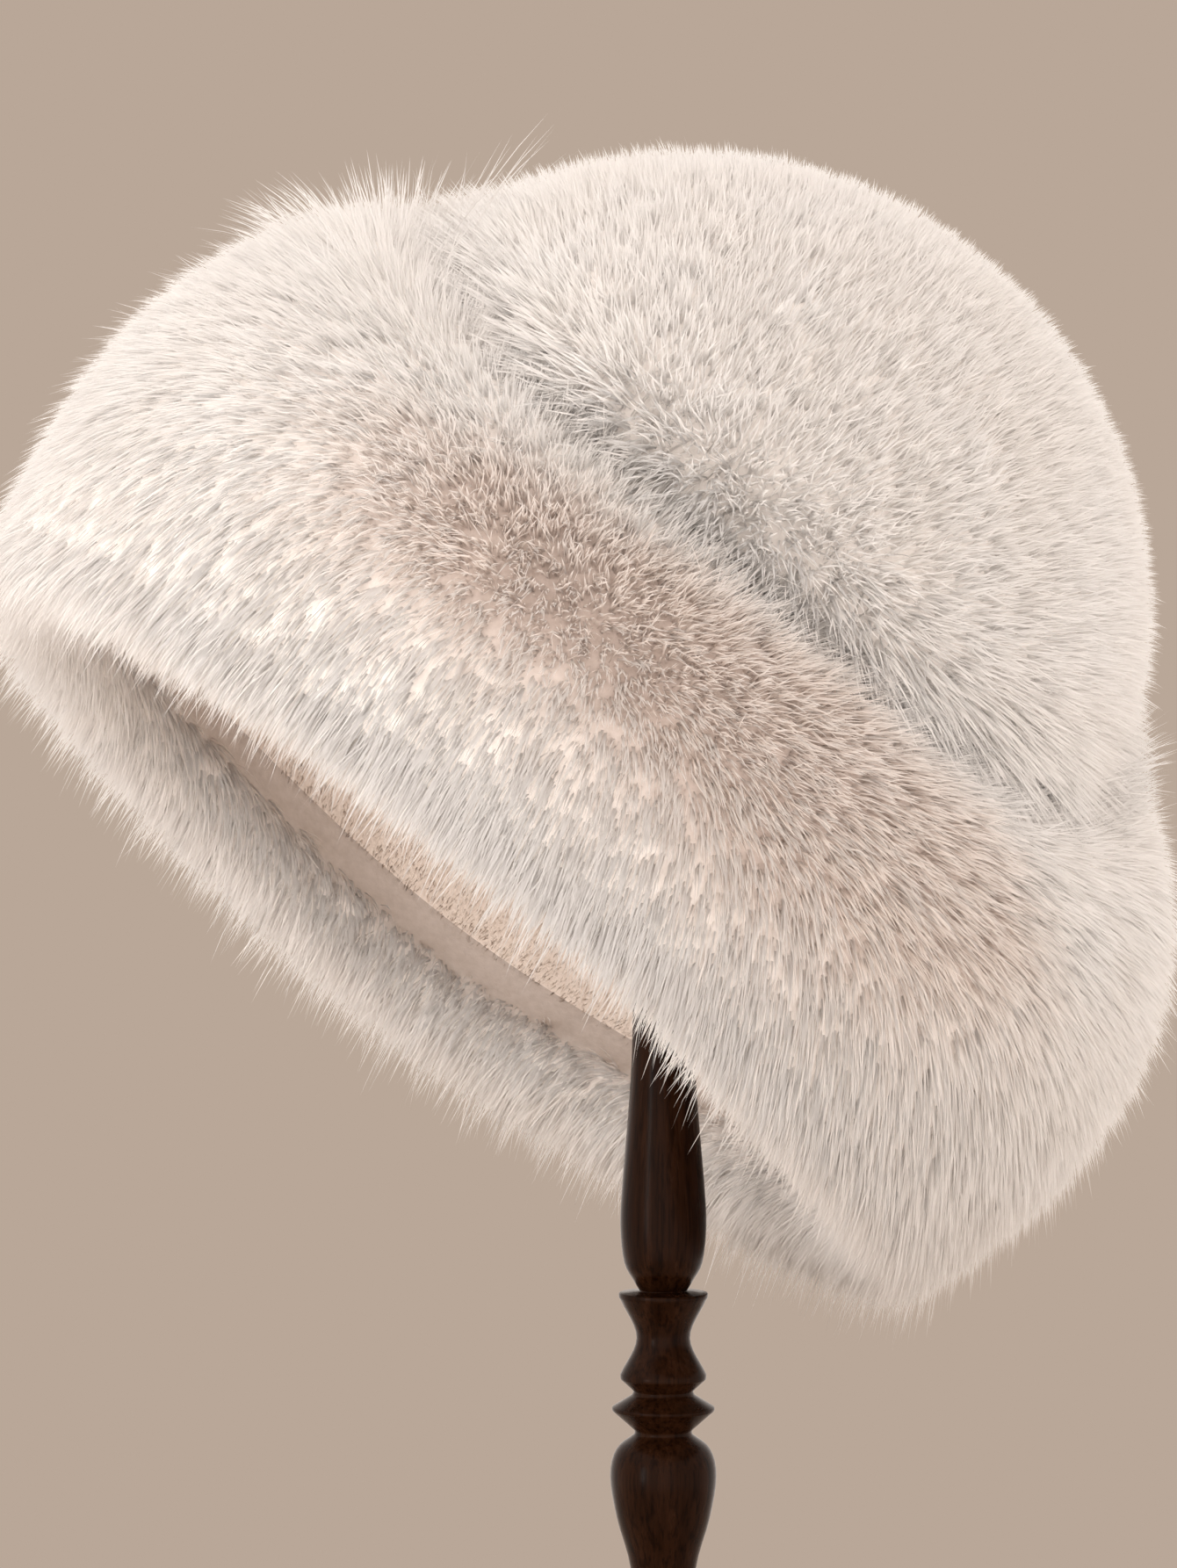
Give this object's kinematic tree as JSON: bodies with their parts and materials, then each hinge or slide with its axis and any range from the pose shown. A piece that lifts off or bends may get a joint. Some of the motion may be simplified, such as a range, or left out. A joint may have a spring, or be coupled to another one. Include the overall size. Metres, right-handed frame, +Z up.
{
  "type": "fur bucket hat on a turned wooden hat stand",
  "caption": "Round-crowned plush fur hat with a wide, down-turned fur brim, resting tipped on the rounded head of a turned wooden hat stand.",
  "frame": {"origin": "centre of the underside of the stand's round foot, on the post's axis", "axes": "+Z up along the post, +X towards the side that the hat tips to, +Y away from the viewer of the picture"},
  "size_m": [0.3355, 0.3101, 0.4577],
  "materials": {
    "pelt": "matt undyed pelt, hidden under the fur",
    "plush_facing": "short, soft, warm beige plush",
    "white_fur": "dense, short, warm white fur",
    "marked_fur": "long warm white fur with a taupe marking on the near side",
    "dark_wood": "turned, stained almost black-brown, satin lacquer"
  },
  "bodies": {
    "root": {"crown_wall": "pelt", "brim_wall": "pelt", "brim_facing": "plush_facing", "crown_fur": "white_fur", "brim_fur": "marked_fur", "stand_head": "dark_wood", "stand_post": "dark_wood", "stand_foot": "dark_wood"}
  },
  "joints": []
}
